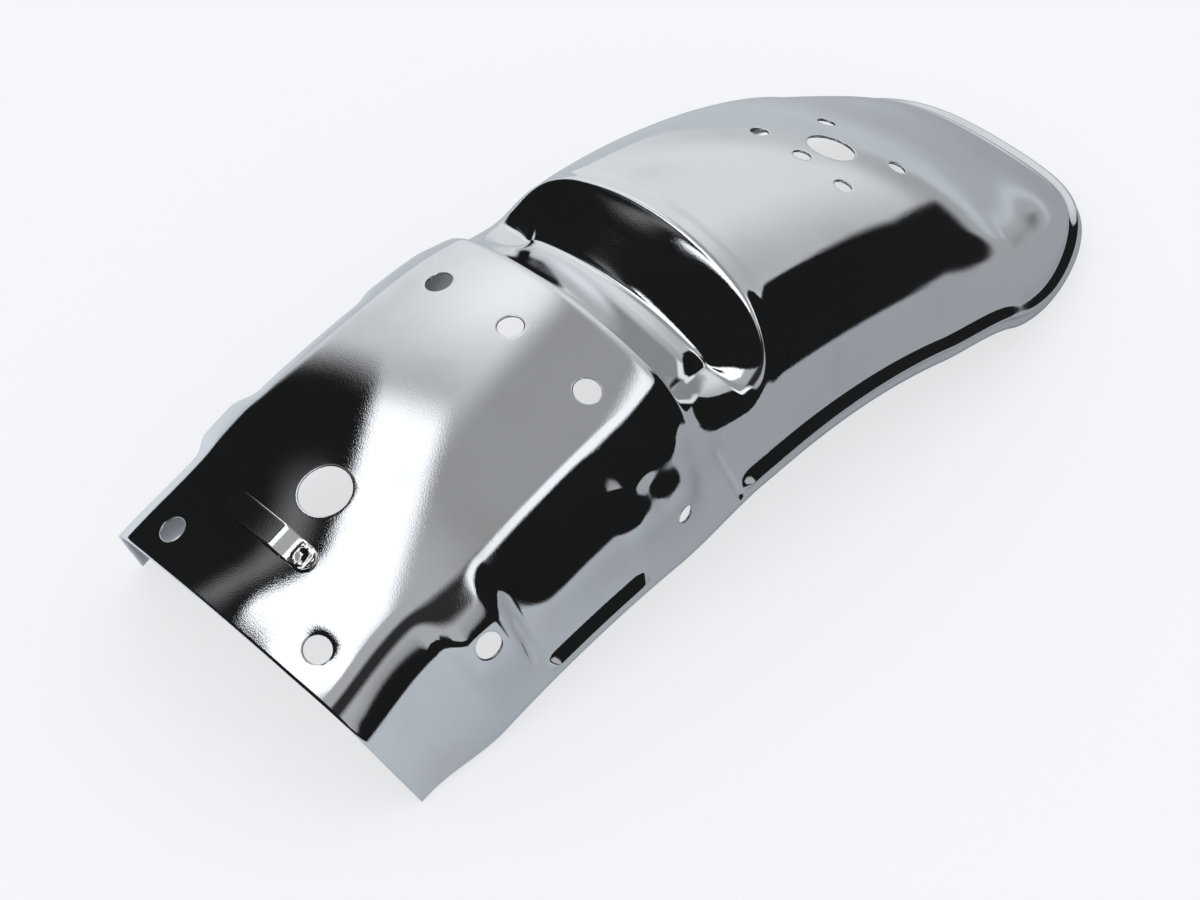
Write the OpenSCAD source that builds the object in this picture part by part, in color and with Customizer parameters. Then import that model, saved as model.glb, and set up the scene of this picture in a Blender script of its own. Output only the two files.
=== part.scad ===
// Rear fender of a small-wheeled motorcycle, pressed from one sheet of steel.
// The crown line runs along X from the low front end, under the frame, to the round tail.
// Every cross-section stands square to that line: crown, corner, side wall, bead and lip.
// A place on the sheet is given by its station s along the crown line and by its place
// across: y sideways and d, the drop below the crown line.

/* [Sheet] */
// Thickness of the pressed sheet
sheet = 1.2; // [0.8:0.1:2]
// Distance between the two side walls' lower edges
overall_w = 152; // [144:1:160]

/* [Crown line] */
// Radius of the front stretch, seen from the side
front_radius = 420; // [400:5:480]
// Angle through which the front stretch falls away from level
front_slope = 26.8; // [24:0.2:29]
// Straight stretch over the step
step_flat = 17; // [10:1:30]
// Radius of the rear arch, which follows the wheel
rear_radius = 262; // [250:2:290]
// Angle that the rear arch turns through before the tail
rear_angle = 37; // [34:0.5:40]
// Radius of the tail stretch, nearly straight
tail_radius = 900; // [600:20:1500]

/* [Cross-section] */
// Radius of the crown across the fender
crown_radius = 150; // [135:5:180]
// Radius of the corner between crown and wall along the front stretch
front_corner = 24; // [18:1:30]
// Radius of the same corner on the rear arch
rear_corner = 36; // [30:1:40]
// Radius of the same corner where the tail begins
tail_corner = 28; // [22:1:30]
// Flare of the side wall at the front edge, from upright
front_flare = 17; // [14:1:18]
// Flare of the side wall over the middle of the front stretch
middle_flare = 13; // [10:1:16]
// Flare of the side wall along the rear arch
rear_flare = 18; // [16:1:20]
// Depth of the side wall below the crown at the front edge
front_depth = 60; // [56:1:66]
// Depth of the side wall at its deepest, over the front stretch
side_depth = 71; // [68:1:76]
// Depth of the side wall where the rear arch begins
rear_depth = 62; // [60:1:66]
// Distance that the crown's front edge stands behind the front corners
front_lean = 3.7; // [0:0.1:5]

/* [Side pads] */
// Station of the middle of the front pad, which stands out round the front side hole
front_pad_s = 59; // [54:1:64]
// Length of the front pad's flat part
front_pad_l = 16; // [12:1:24]
// Distance that the front pad stands out from the wall
front_pad_out = 4.5; // [1:0.5:6]
// Station of the middle of the rear pad, in front of the step
rear_pad_s = 149; // [144:1:154]
// Length of the rear pad's flat part
rear_pad_l = 22; // [16:1:26]
// Distance that the rear pad stands out from the wall
rear_pad_out = 2.5; // [1:0.5:5]
// Length over which each pad runs out into the plain wall
pad_run = 12; // [10:1:18]

/* [Step] */
// Depth of the groove between the front stretch and the rear arch
step_depth = 15; // [10:0.5:16]
// Station of the sharp edge where the front stretch ends
step_edge_s = 172; // [168:1:176]
// Width of the hollow ledge between that edge and the foot of the riser
ledge_w = 27.5; // [24:0.5:30]
// Length of the crescent riser on the centre line
riser_l = 25.5; // [22:0.5:30]
// Length of each half of the crescent, from the centre line round the corner
riser_reach = 80; // [74:1:84]

/* [Bead, rib and lip] */
// Width of the raised bead and of the short front rib
bead_w = 6.2; // [5:0.2:7]
// Height of the bead over the wall
bead_h = 2.5; // [1.5:0.1:3]
// Width of the plain lip below the bead
lip_w = 3.4; // [2.4:0.2:4.6]
// Station where the front rib begins
rib_start_s = 75; // [70:1:84]
// Length of the front rib
rib_l = 59; // [40:1:64]
// Station where the bead of the rear arch begins
bead_start_s = 190; // [186:1:200]

/* [Tail] */
// Station where the sides begin to close round the tail
tail_s = 364; // [356:1:370]
// Length of the round tail beyond that station
tail_l = 87; // [76:1:96]
// Height that the tail's edge turns up by
tail_rise = 5; // [2:0.5:8]

/* [Holes] */
// Diameter of the four mounting holes in the front stretch
mount_hole_d = 10; // [8:0.5:11]
// Distance between the two holes of each of those pairs
mount_spacing = 76; // [72:1:78]
// Station of the front pair
front_pair_s = 16.3; // [14:0.1:20]
// Station of the rear pair
rear_pair_s = 148.5; // [146:0.1:152]
// Diameter of the hole in the middle of the rear pair
middle_hole_d = 9.5; // [8:0.5:11]
// Diameter of the large hole behind the front pair
access_hole_d = 19.6; // [16:0.2:22]
// Station of that large hole
access_hole_s = 59.3; // [57:0.1:62]
// Diameter of the five small holes for the lamp bracket
lamp_hole_d = 7; // [5.5:0.5:8]
// Station of the three lamp holes in a row
lamp_row_s = 298.3; // [296:0.1:300]
// Distance between the outer holes of that row
lamp_row_spacing = 42.8; // [40:0.2:46]
// Station of the lamp's rear pair
lamp_pair_s = 335.5; // [333:0.1:338]
// Distance between the holes of the rear pair
lamp_pair_spacing = 36.6; // [33:0.2:40]
// Diameter of the hole for the lamp's wires
wire_hole_d = 19; // [16:0.5:20]
// Station of the wire hole
wire_hole_s = 315.7; // [314:0.1:317]
// Diameter of the hole in each front pad
front_side_hole_d = 11; // [9:0.5:12]
// Drop of that hole below the crown line
front_side_hole_drop = 31; // [29:0.5:34]
// Diameter of the hole behind each rear pad
rear_side_hole_d = 7.5; // [6:0.5:9]
// Station of that hole
rear_side_hole_s = 158.5; // [156:0.5:161]
// Drop of that hole below the crown line
rear_side_hole_drop = 51.5; // [49:0.5:54]

/* [Harness clip] */
// Thickness of the strip of the clip and of the tab
strip_t = 1.2; // [0.8:0.1:1.6]
// Width of the clip's strip
clip_w = 9.5; // [7:0.5:12]
// Station of the clip's middle
clip_s = 36.8; // [34:0.2:39]
// Place across of the clip's welded end
clip_weld_y = -12; // [-16:0.5:-8]
// Length of the welded foot
clip_foot_l = 11; // [8:0.5:14]
// Length of the sloping bend, seen from above
clip_bend_l = 5; // [4:0.5:8]
// Length of the free tongue
clip_tongue_l = 26; // [18:1:30]
// Height of the gap under the tongue
clip_gap = 2.6; // [1.5:0.1:4]

/* [Front tab] */
// Width of the tab below the front edge
tab_w = 12; // [8:0.5:16]
// Place across of the tab's middle
tab_y = 22; // [16:0.5:26]
// Length of the tab's foot under the crown
tab_foot_l = 8; // [6:0.5:10]
// Depth of the tab's turned-down end
tab_depth = 4.5; // [3:0.5:7]

/* [Hidden] */
$fn = 48;
half_w = overall_w / 2;
// Gap left between a welded foot and the sheet that carries it
seat_gap = 0.2;

// Crown line: lengths of its stretches, and the point where each one begins
front_len = front_radius * front_slope * PI / 180;
flat_end = front_len + step_flat;
arch_end = flat_end + rear_radius * rear_angle * PI / 180;
apex = [front_radius * sin(front_slope), front_radius * (1 - cos(front_slope))];
arch_foot = apex + [step_flat + rear_radius * sin(rear_angle), -rear_radius * (1 - cos(rear_angle))];

// Slope of the crown line at station s, in degrees, and its point there as [x, z]
function slope(s) =
    s < front_len ? front_slope - s / front_radius * 180 / PI
    : s < flat_end ? 0
    : s < arch_end ? -(s - flat_end) / rear_radius * 180 / PI
    : -rear_angle - (s - arch_end) / tail_radius * 180 / PI;
function line_point(s) =
    let (t = slope(s))
    s < front_len ? front_radius * [sin(front_slope) - sin(t), cos(t) - cos(front_slope)]
    : s < flat_end ? apex + [s - front_len, 0]
    : s < arch_end ? apex + [step_flat - rear_radius * sin(t), -rear_radius * (1 - cos(t))]
    : arch_foot + tail_radius * [-sin(t) - sin(rear_angle), cos(t) - cos(rear_angle)];

// Point at station s, sideways y and drop d
function place(s, y, d) =
    let (p = line_point(s), t = slope(s))
    [p.x + d * sin(t), y, p.y - d * cos(t)];

// Smooth step from 0 at a to 1 at b, and a plateau from a to b with a run-out at each end
function ramp(s, a, b) =
    let (t = min(max((s - a) / (b - a), 0), 1))
    t * t * (3 - 2 * t);
function plateau(s, a, b, run) = ramp(s, a - run, a) - ramp(s, b, b + run);

// Sizes of the cross-section along the fender; the rear arch's section is reached at arch_s
riser_s = step_edge_s + ledge_w;
arch_s = riser_s + 11.5;
blend_s = step_edge_s - 22;
deep_s = 45;
middle_s = 90;
narrow_s = 270;
fall_s = arch_s - 6;
depth_fall = 0.105;
tail_lift = 5.5;
lift_s = tail_s - 46;
function depth(s) =
    front_depth + (side_depth - front_depth) * ramp(s, 0, deep_s)
    - (side_depth - rear_depth) * ramp(s, blend_s, arch_s)
    - depth_fall * max(s - fall_s, 0)
    - tail_lift * ramp(s, lift_s, tail_s + 2);
function mix(a, b, t) = a + (b - a) * t;
function flare(s) = mix(mix(front_flare, middle_flare, ramp(s, 0, middle_s)), rear_flare,
                        ramp(s, blend_s, arch_s));
function corner(s) = mix(mix(front_corner, rear_corner, ramp(s, blend_s, arch_s)), tail_corner,
                         ramp(s, narrow_s, tail_s));

// How far the pads stand out at station s and drop d: they fade out above and below
pad_top = 9;
pad_full = 24;
pad_low = 36;
pad_end = 66;
function pad_out(s, d) =
    let (front = plateau(s, front_pad_s - front_pad_l / 2, front_pad_s + front_pad_l / 2, pad_run),
         rear = plateau(s, rear_pad_s - rear_pad_l / 2, rear_pad_s + rear_pad_l / 2, pad_run))
    (front_pad_out * front + rear_pad_out * rear)
    * ramp(d, pad_top, pad_full) * (1 - ramp(d, pad_low, pad_end));

// Angles at which the crown arc ends, and length of the straight wall that is left
function crown_end(s) =
    let (f = flare(s), r = corner(s))
    asin((half_w * cos(f) - depth(s) * sin(f) - r + crown_radius * sin(f)) / (crown_radius - r)) - f;
function wall_len(s) =
    let (f = flare(s), r = corner(s), a = crown_end(s))
    (depth(s) - crown_radius + (crown_radius - r) * cos(a) + r * sin(f)) / cos(f);

// Faces across each part of half a section
crown_n = 6;
corner_n = 6;
wall_n = 4;
bead_n = 4;
wall_k = crown_n + corner_n;
bead_k = wall_k + wall_n;
half_n = bead_k + bead_n + 1;
band_w = bead_w + lip_w;

// Half a section at station s, from the crown line to the lower edge. Each column holds its place
// across, its drop, the angle that its normal leans out by and its distance round the section.
function half_section(s) =
    let (
        f = flare(s),
        r = corner(s),
        a = crown_end(s),
        plain = wall_len(s) - band_w,
        turn = 90 - f,
        foot = [crown_radius * sin(a) + r * (sin(turn) - sin(a)),
                crown_radius * (1 - cos(a)) + r * (cos(a) - cos(turn)),
                turn, (crown_radius * a + r * (turn - a)) * PI / 180],
        down = [sin(f), cos(f), 0, 1]
    )
    [
        for (i = [0:crown_n - 1]) let (b = a * i / crown_n)
            [crown_radius * sin(b), crown_radius * (1 - cos(b)), b, crown_radius * b * PI / 180],
        for (i = [0:corner_n - 1]) let (b = a + (turn - a) * i / corner_n)
            [crown_radius * sin(a) + r * (sin(b) - sin(a)),
             crown_radius * (1 - cos(a)) + r * (cos(a) - cos(b)),
             b, (crown_radius * a + r * (b - a)) * PI / 180],
        for (i = [0:wall_n - 1]) foot + down * plain * i / wall_n,
        for (i = [0:bead_n]) foot + down * (plain + bead_w * i / bead_n),
        foot + down * (plain + band_w)
    ];

// Height of the bead at column k: a long upper flank, then a short way back to the lip
bead_flank = 0.66;
bead_crest = 0.7;
flank_ease = 0.3;
function bead_profile(k) =
    let (t = (k - bead_k) / bead_n, up = min(max(t / bead_flank, 0), 1))
    bead_h * (mix(up, ramp(up, 0, 1), flank_ease) - ramp(t, bead_crest, 1));

// Stretches of wall that carry the rib and the bead
bead_run = 5;
function bead_share(s) =
    ramp(s, rib_start_s, rib_start_s + bead_run)
    - ramp(s, rib_start_s + rib_l - bead_run, rib_start_s + rib_l)
    + ramp(s, bead_start_s, bead_start_s + bead_run);

// How deep the sheet is pressed in at the step, w round the section from the crown line:
// a hollow ledge, then the crescent riser
press_in = 22;
press_out = 10;
least_share = 0.2;
function step_press(s, w) =
    let (
        side = 1 - ramp(w, riser_reach - press_in, riser_reach + press_out),
        reach = riser_l * sqrt(max(1 - pow(w / riser_reach, 2), least_share * least_share)),
        share = s <= step_edge_s ? 0
            : s < riser_s ? sin(90 * (s - step_edge_s) / ledge_w)
            : max(1 - (s - riser_s) / reach, 0)
    )
    step_depth * side * share;

// Point of column k at station s, with the lean of the front edge, the pads, the step and the bead
lean_run = 8;
function section_point(s, k, part) =
    let (
        f = flare(s),
        q = part[abs(k)],
        lift = bead_profile(abs(k)) * bead_share(s),
        press = step_press(s, q[3]),
        lean = front_lean * (1 - q.y / front_depth) * max(1 - s / lean_run, 0),
        y = q.x + pad_out(s, q.y) + lift * cos(f) - press * sin(q[2])
    )
    place(s + lean, sign(k) * y, q.y + press * cos(q[2]) - lift * sin(f));

// Round tail: rays turn from the near wall, round the back, to the far wall
tail_full = 0.9;
tail_flat = 0.55;
wall_power = 5;
rise_start = 0.45;
ease_start = 0.5;
tail_n = 24;
half_turn = 180;
tail_part = half_section(tail_s);
function signed_pow(v, n) = sign(v) * pow(abs(v), n);
function tail_point(turn, k) =
    let (
        c = cos(turn),
        across = signed_pow(c, tail_full),
        sn = sin(turn),
        along = pow(sn, tail_full),
        keep = pow(abs(c), wall_power),
        fall = 90 - (90 - flare(tail_s)) * pow(abs(c), 3),
        reach = norm([half_w * across, tail_l * along]),
        u = [half_w * across, tail_l * along] / reach,
        inner = reach - band_w * sin(fall),
        q = tail_part[min(k, bead_k)],
        f = q.x / tail_part[bead_k].x,
        y = u.x * inner * f,
        crown = crown_radius - sqrt(crown_radius * crown_radius - y * y),
        wall = q.y - crown_radius + sqrt(crown_radius * crown_radius - q.x * q.x),
        rise = tail_rise * sn * sn * ramp(f, rise_start, 1),
        ease = depth_fall * tail_l * sn * c * c * ramp(f, ease_start, 1),
        w = k <= bead_k ? 0 : k == half_n ? band_w : bead_w * (k - bead_k) / bead_n,
        lift = bead_profile(k),
        out = inner * f + w * sin(fall) + lift * cos(fall),
        d = crown * (1 - tail_flat * sn * sn) + wall * keep - ease - rise + w * cos(fall) - lift * sin(fall)
    )
    place(tail_s + u.y * out, u.x * out, d);

// Stations of the sections, closer together over the step
stations = [
    for (i = [0:27]) step_edge_s * i / 28,
    for (i = [0:6]) step_edge_s + ledge_w * i / 7,
    for (i = [0:9]) riser_s + riser_l * i / 10,
    for (i = [0:9]) riser_s + riser_l + (tail_s - riser_s - riser_l) * i / 9
];
station_n = len(stations);
row_n = 2 * half_n + 1;

// Outer face: the rows of sections, then the rays of the tail without their shared ends
outer = [
    for (s = stations) let (part = half_section(s))
        for (k = [-half_n:half_n]) section_point(s, k, part),
    for (i = [1:tail_n - 1]) for (k = [1:half_n]) tail_point(half_turn * (1 - i / tail_n), k)
];
last_row = (station_n - 1) * row_n + half_n;
function grid_id(i, k) = i * row_n + half_n + k;
function ray_id(i, k) =
    k == 0 ? last_row
    : i == 0 ? last_row - k
    : i == tail_n ? last_row + k
    : station_n * row_n + (i - 1) * half_n + k - 1;

// Outward normal at each point, from its neighbours
function unit(v) = v / norm(v);
function cross_of(a, b, c, d) = unit(cross(outer[a] - outer[b], outer[c] - outer[d]));
normals = [
    for (i = [0:station_n - 1]) for (k = [-half_n:half_n])
        cross_of(grid_id(min(i + 1, station_n - 1), k), grid_id(max(i - 1, 0), k),
                 grid_id(i, min(k + 1, half_n)), grid_id(i, max(k - 1, -half_n))),
    for (i = [1:tail_n - 1]) for (k = [1:half_n])
        cross_of(ray_id(i, min(k + 1, half_n)), ray_id(i, k - 1), ray_id(i + 1, k), ray_id(i - 1, k))
];
inner = [for (i = [0:len(outer) - 1]) outer[i] - sheet * normals[i]];

// Faces of one side of the sheet, and the closed loop of its edge
faces_out = [
    for (i = [0:station_n - 2]) for (k = [-half_n:half_n - 1]) each [
        [grid_id(i, k), grid_id(i + 1, k), grid_id(i + 1, k + 1)],
        [grid_id(i, k), grid_id(i + 1, k + 1), grid_id(i, k + 1)]
    ],
    for (i = [0:tail_n - 1]) each [
        [ray_id(i, 0), ray_id(i, 1), ray_id(i + 1, 1)],
        for (k = [1:half_n - 1]) each [
            [ray_id(i, k), ray_id(i, k + 1), ray_id(i + 1, k + 1)],
            [ray_id(i, k), ray_id(i + 1, k + 1), ray_id(i + 1, k)]
        ]
    ]
];
edge_loop = [
    for (k = [-half_n:half_n - 1]) grid_id(0, k),
    for (i = [0:station_n - 1]) grid_id(i, half_n),
    for (i = [1:tail_n - 1]) ray_id(tail_n - i, half_n),
    for (i = [0:station_n - 2]) grid_id(station_n - 1 - i, -half_n)
];
loop_n = len(edge_loop);
far = len(outer);
faces_all = [
    each faces_out,
    for (f = faces_out) [f[0] + far, f[2] + far, f[1] + far],
    for (i = [0:loop_n - 1]) let (a = edge_loop[i], b = edge_loop[(i + 1) % loop_n]) each [
        [a, b, b + far],
        [a, b + far, a + far]
    ]
];

// The fender rests on its front corners and on its tail: level it and centre it on the floor
front_toe = outer[grid_id(0, half_n)];
tail_toe = outer[ray_id(tail_n / 2, half_n)];
rest_tilt = atan2(front_toe.z - tail_toe.z, tail_toe.x - front_toe.x);
function level(p) =
    [p.x * cos(rest_tilt) - p.z * sin(rest_tilt), p.y, p.x * sin(rest_tilt) + p.z * cos(rest_tilt)];
levelled = [for (p = concat(outer, inner)) level(p)];
low = [min([for (p = levelled) p.x]), min([for (p = levelled) p.z])];
high_x = max([for (p = levelled) p.x]);
origin = [(low.x + high_x) / 2, 0, low.y];

module in_frame() {
    translate(-origin) rotate([0, -rest_tilt, 0]) children();
}

// Puts its children on the sheet's outer face at the crown, Z outward and X rearward
module on_crown(s, y = 0) {
    d = crown_radius - sqrt(crown_radius * crown_radius - y * y);
    translate(place(s, y, d)) rotate([0, -slope(s), 0]) children();
}
module punch(s, y, d) {
    on_crown(s, y) cylinder(h = 10 * sheet, d = d, center = true);
}
module side_punch(s, drop, d) {
    translate(place(s, 0, drop)) rotate([90, 0, 0]) for (z = [-half_w, half_w])
        translate([0, 0, z]) cylinder(h = 16 * sheet, d = d, center = true);
}

// One pressed sheet with all its punched holes
module fender_shell() {
    color("silver") in_frame() difference() {
        polyhedron(points = concat(outer, inner), faces = faces_all, convexity = 12);
        for (y = [-mount_spacing / 2, mount_spacing / 2]) {
            punch(front_pair_s, y, mount_hole_d);
            punch(rear_pair_s, y, mount_hole_d);
        }
        punch(rear_pair_s, 0, middle_hole_d);
        punch(access_hole_s, 0, access_hole_d);
        for (y = [-1, 0, 1]) punch(lamp_row_s, y * lamp_row_spacing / 2, lamp_hole_d);
        for (y = [-1, 1]) punch(lamp_pair_s, y * lamp_pair_spacing / 2, lamp_hole_d);
        punch(wire_hole_s, 0, wire_hole_d);
        side_punch(front_pad_s, front_side_hole_drop, front_side_hole_d);
        side_punch(rear_side_hole_s, rear_side_hole_drop, rear_side_hole_d);
    }
}

// Strip bent up from its welded foot, with a free tongue that follows the crown
clip_tilt = asin(clip_weld_y / crown_radius);
function tongue_z(t) = clip_gap - pow(t - clip_foot_l / 2, 2) / 2 / crown_radius;
module clip_outline() {
    foot = clip_foot_l;
    bend = foot + clip_bend_l;
    end = bend + clip_tongue_l;
    under = [[0, 0], [foot, 0], [bend, tongue_z(bend)], [end, tongue_z(end)]];
    polygon([each under, for (i = [3:-1:0]) under[i] + [0, strip_t]]);
}
module harness_clip() {
    r = clip_w / 2;
    length = clip_foot_l + clip_bend_l + clip_tongue_l;
    color("silver") in_frame() on_crown(clip_s, clip_weld_y)
        rotate([-clip_tilt, 0, 0]) translate([0, -clip_foot_l / 2, seat_gap]) intersection() {
            translate([-r, 0, 0]) rotate([90, 0, 90]) linear_extrude(clip_w) clip_outline();
            union() {
                translate([0, r, 0]) cylinder(h = 12, r = r, center = true);
                translate([0, length - r, 0]) cylinder(h = 12, r = r, center = true);
                translate([-r, r, -6]) cube([clip_w, length - clip_w, 12]);
            }
        }
}

// Angle welded under the crown, with its short leg turned down at the front edge. Its flat foot
// sits lower than the sheet by what the sheet curves down over the foot's width and length.
tab_gap = seat_gap + tab_w * tab_w / 8 / crown_radius + tab_foot_l * tab_foot_l / 2 / front_radius;
module front_tab() {
    color("silver") in_frame() on_crown(front_lean, tab_y)
        rotate([-asin(tab_y / crown_radius), 0, 0])
        translate([0, -tab_w / 2, -sheet - tab_gap - strip_t]) {
            cube([tab_foot_l, tab_w, strip_t]);
            translate([0, 0, strip_t - tab_depth]) cube([strip_t, tab_w, tab_depth]);
        }
}

fender_shell();
harness_clip();
front_tab();
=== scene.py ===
import math

import bpy
import numpy as np
from mathutils import Euler, Matrix, Vector


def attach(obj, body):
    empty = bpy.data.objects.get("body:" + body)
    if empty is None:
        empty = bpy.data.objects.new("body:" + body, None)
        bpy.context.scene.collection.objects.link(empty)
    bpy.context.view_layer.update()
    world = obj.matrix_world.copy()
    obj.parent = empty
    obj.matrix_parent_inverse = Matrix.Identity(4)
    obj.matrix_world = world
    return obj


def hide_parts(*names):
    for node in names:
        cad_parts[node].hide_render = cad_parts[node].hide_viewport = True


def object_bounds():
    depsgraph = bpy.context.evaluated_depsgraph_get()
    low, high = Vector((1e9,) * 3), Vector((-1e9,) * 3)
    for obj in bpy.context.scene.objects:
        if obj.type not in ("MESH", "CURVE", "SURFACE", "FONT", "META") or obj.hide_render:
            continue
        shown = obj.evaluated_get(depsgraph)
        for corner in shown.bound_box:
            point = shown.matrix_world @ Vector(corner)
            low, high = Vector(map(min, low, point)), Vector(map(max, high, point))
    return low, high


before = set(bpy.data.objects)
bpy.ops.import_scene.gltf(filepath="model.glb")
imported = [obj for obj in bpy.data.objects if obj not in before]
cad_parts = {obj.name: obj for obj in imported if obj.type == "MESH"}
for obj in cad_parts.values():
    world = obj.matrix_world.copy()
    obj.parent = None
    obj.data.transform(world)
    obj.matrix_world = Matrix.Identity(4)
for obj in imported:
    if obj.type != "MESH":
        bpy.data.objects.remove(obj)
cad_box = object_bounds()
MM = 0.001


# Driving sizes of the sheet, in millimetres and degrees. A station is the distance along the crown
# line from the front edge, and a drop is measured down from that line. The sizes are the CAD's,
# apart from small changes to the step, the bead, the front pad and the start of the tail's rise,
# which the chrome's reflections asked for.
SHEET = 1.2
HALF_W = 76.0
FRONT_RADIUS, FRONT_SLOPE = 420.0, 26.8
STEP_FLAT = 17.0
REAR_RADIUS, REAR_ANGLE = 262.0, 37.0
TAIL_RADIUS = 900.0
CROWN_RADIUS = 150.0
FRONT_CORNER, REAR_CORNER, TAIL_CORNER = 24.0, 36.0, 28.0
FRONT_FLARE, MIDDLE_FLARE, REAR_FLARE = 17.0, 13.0, 18.0
FRONT_DEPTH, SIDE_DEPTH, REAR_DEPTH = 60.0, 71.0, 62.0
DEPTH_FALL, TAIL_LIFT = 0.105, 5.5
FRONT_LEAN, LEAN_RUN = 3.7, 8.0

# Step: a hollow ledge, then a crescent riser with a shallow groove behind its top
STEP_DEPTH, STEP_EDGE, LEDGE_W = 15.8, 172.0, 28.4
RISER_L, RISER_REACH = 24.6, 80.0
STEP_SOFT, STEP_END, STEP_FADE = 0.05, 81.0, 24.0
GROOVE_DEPTH, GROOVE_BACK, GROOVE_W = 0.3, 5.0, 2.6

# Rolled bead with its turned-down lip, and the short rib before the bead; the flank, its rounding
# and the flat top are shares of the bead's width
BEAD_W, BEAD_H, LIP_W = 6.2, 2.4, 3.4
BEAD_FLANK, BEAD_ROUND, BEAD_TOP = 0.66, 0.3, 0.04
BAND_W = BEAD_W + LIP_W
RIB_START, RIB_L, BEAD_START, BEAD_RUN = 75.0, 59.0, 190.0, 5.0

# Round tail: it starts at a station, reaches on by a length and lifts its edge. Its outline is
# blunter than an ellipse (a power below 1), and its crown gets flatter towards the tip. The wall
# turns level and its drop fades with a power of the ray's cosine, and the rise and the easing of
# the edge begin at a share of the way out from the middle.
TAIL_S, TAIL_L, TAIL_RISE = 364.0, 87.0, 5.0
TAIL_BLUNT, TAIL_FLAT = 0.9, 0.55
TAIL_TURN, TAIL_FADE = 3, 5
RISE_FROM, EASE_FROM = 0.15, 0.5

# Upright pads round the side holes as (first station, last station, run, push), and the drops
# between which they rise and run out
PADS = [(53.0, 67.0, 10.5, 4.8), (138.0, 160.0, 12.0, 2.5)]
PAD_RISE, PAD_OUT = (9.0, 24.0), (36.0, 66.0)

# Swell of the wall: height, place below the corner, width, and the stations where it comes and goes
SWELL, SWELL_AT, SWELL_W = 1.8, 10.0, 7.0
SWELL_ON, SWELL_OFF = (68.0, 104.0), (156.0, 182.0)

# The wall counts as this much way round the section, from the corner's end to the bead
WALL_WAY = 25.0

# Punched holes in the crown as (station, y, diameter), and in both walls as (station, drop, diameter)
CROWN_HOLES = [
    (16.3, -38.0, 10.0), (16.3, 38.0, 10.0), (148.5, -38.0, 10.0), (148.5, 38.0, 10.0),
    (148.5, 0.0, 9.5), (59.3, 0.0, 19.6), (298.3, -21.4, 7.0), (298.3, 0.0, 7.0),
    (298.3, 21.4, 7.0), (315.7, 0.0, 19.0), (335.5, -18.3, 7.0), (335.5, 18.3, 7.0),
]
WALL_HOLES = [(59.0, 31.0, 11.0), (158.5, 51.5, 7.5)]

FRONT_LEN = FRONT_RADIUS * math.radians(FRONT_SLOPE)
FLAT_END = FRONT_LEN + STEP_FLAT
ARCH_END = FLAT_END + REAR_RADIUS * math.radians(REAR_ANGLE)
RISER_S = STEP_EDGE + LEDGE_W
ARCH_S = RISER_S + 11.5
BLEND_S = STEP_EDGE - 22.0
SIDE_S, FLARE_S, CORNER_S = 45.0, 90.0, 270.0
FALL_S = ARCH_S - 6.0
LIFT_ON = (TAIL_S - 46.0, TAIL_S + 2.0)


def ramp(s, a, b):
    """Smooth step from 0 at a to 1 at b."""
    t = np.clip((s - a) / (b - a), 0, 1)
    return t * t * (3 - 2 * t)


def mix(a, b, t):
    """a where t is 0, b where t is 1."""
    return a + (b - a) * t


def slope(s):
    """Slope of the crown line at station s, in radians."""
    return np.select(
        [s < FRONT_LEN, s < FLAT_END, s < ARCH_END],
        [math.radians(FRONT_SLOPE) - s / FRONT_RADIUS, 0 * s, -(s - FLAT_END) / REAR_RADIUS],
        -math.radians(REAR_ANGLE) - (s - ARCH_END) / TAIL_RADIUS,
    )


def line_point(s):
    """Point of the crown line at station s, as x and z."""
    t, a, b = slope(s), math.radians(FRONT_SLOPE), math.radians(REAR_ANGLE)
    apex = (FRONT_RADIUS * math.sin(a), FRONT_RADIUS * (1 - math.cos(a)))
    foot = (apex[0] + STEP_FLAT + REAR_RADIUS * math.sin(b),
            apex[1] - REAR_RADIUS * (1 - math.cos(b)))
    where = [s < FRONT_LEN, s < FLAT_END, s < ARCH_END]
    x = np.select(where, [
        FRONT_RADIUS * (math.sin(a) - np.sin(t)),
        apex[0] + s - FRONT_LEN,
        apex[0] + STEP_FLAT - REAR_RADIUS * np.sin(t),
    ], foot[0] - TAIL_RADIUS * (np.sin(t) + math.sin(b)))
    z = np.select(where, [
        FRONT_RADIUS * (np.cos(t) - math.cos(a)),
        apex[1] + 0 * s,
        apex[1] - REAR_RADIUS * (1 - np.cos(t)),
    ], foot[1] + TAIL_RADIUS * (np.cos(t) - math.cos(b)))
    return x, z


def place(s, y, d):
    """Point at station s, sideways y and drop d below the crown line."""
    x, z = line_point(s)
    t = slope(s)
    return np.stack([x + d * np.sin(t), y + 0 * s, z - d * np.cos(t)], axis=-1)


def depth(s):
    """Drop of the sheet's lower edge at station s."""
    return (FRONT_DEPTH + (SIDE_DEPTH - FRONT_DEPTH) * ramp(s, 0, SIDE_S)
            - (SIDE_DEPTH - REAR_DEPTH) * ramp(s, BLEND_S, ARCH_S)
            - DEPTH_FALL * np.maximum(s - FALL_S, 0) - TAIL_LIFT * ramp(s, *LIFT_ON))


def flare(s):
    """Lean of the wall from upright at station s, in radians."""
    front = mix(FRONT_FLARE, MIDDLE_FLARE, ramp(s, 0, FLARE_S))
    return np.radians(mix(front, REAR_FLARE, ramp(s, BLEND_S, ARCH_S)))


def corner(s):
    """Radius between crown and wall at station s."""
    front = mix(FRONT_CORNER, REAR_CORNER, ramp(s, BLEND_S, ARCH_S))
    return mix(front, TAIL_CORNER, ramp(s, CORNER_S, TAIL_S))


def crown_end(s):
    """Angle at which the crown arc ends and the corner begins."""
    f, r = flare(s), corner(s)
    return np.arcsin((HALF_W * np.cos(f) - depth(s) * np.sin(f) - r + CROWN_RADIUS * np.sin(f))
                     / (CROWN_RADIUS - r)) - f


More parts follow.
